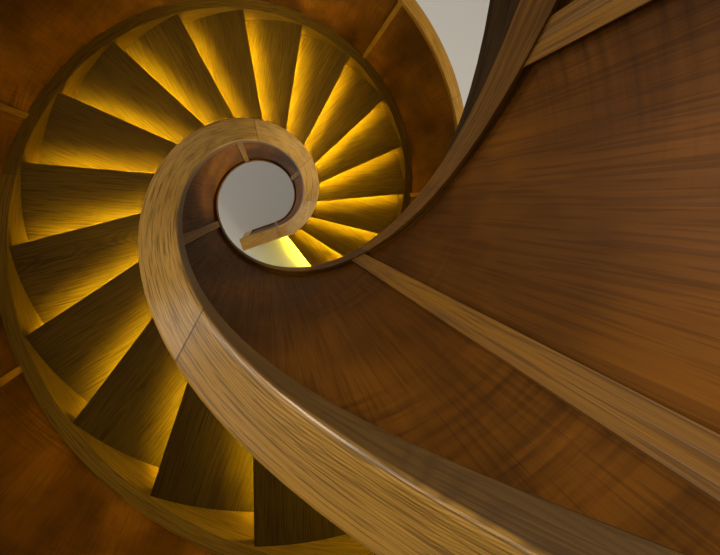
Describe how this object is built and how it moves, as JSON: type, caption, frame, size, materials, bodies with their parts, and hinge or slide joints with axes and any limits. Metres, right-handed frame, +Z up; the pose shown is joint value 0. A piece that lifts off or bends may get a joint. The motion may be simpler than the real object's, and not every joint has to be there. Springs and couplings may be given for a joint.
{
  "type": "spiral staircase",
  "caption": "Spiral timber staircase winding round an open well between two solid panelled walls, with wide oak handrails and a light strip under each nosing.",
  "frame": {"origin": "on the lower floor, under the middle of the sole plate behind the first riser", "axes": "+Z up; the well's axis is parallel to Z at X -0.4210, Y 0.4822 m; going up turns anticlockwise seen from above"},
  "size_m": [2.19, 2.1896, 5.6765],
  "materials": {
    "tread_oak": "satin",
    "dark_oak": "satin",
    "light_oak": "satin",
    "rail_oak": "satin",
    "red_veneer": "gloss",
    "plain_timber": "matte",
    "channel_brown": "matte",
    "lit_lens": "matte"
  },
  "bodies": {
    "root": {"bottom_rail": "light_oak", "end_post": "light_oak", "foot_panel": "red_veneer", "hanger_board": "plain_timber", "inner_battens": "light_oak", "inner_handrail": "rail_oak", "inner_panels": "red_veneer", "inner_string": "dark_oak", "lamp_channels": "channel_brown", "lamp_lenses": "lit_lens", "landing_nosing": "tread_oak", "outer_battens": "light_oak", "outer_handrail": "rail_oak", "outer_panels": "red_veneer", "outer_string": "light_oak", "risers": "dark_oak", "sole_plate": "plain_timber", "tread_01": "tread_oak", "tread_02": "tread_oak", "tread_03": "tread_oak", "tread_04": "tread_oak", "tread_05": "tread_oak", "tread_06": "tread_oak", "tread_07": "tread_oak", "tread_08": "tread_oak", "tread_09": "tread_oak", "tread_10": "tread_oak", "tread_11": "tread_oak", "tread_12": "tread_oak", "tread_13": "tread_oak", "tread_14": "tread_oak", "tread_15": "tread_oak", "tread_16": "tread_oak", "tread_17": "tread_oak", "tread_18": "tread_oak", "tread_19": "tread_oak", "tread_20": "tread_oak", "tread_21": "tread_oak", "tread_22": "tread_oak", "tread_23": "tread_oak", "tread_24": "tread_oak", "tread_25": "tread_oak"}
  },
  "joints": []
}
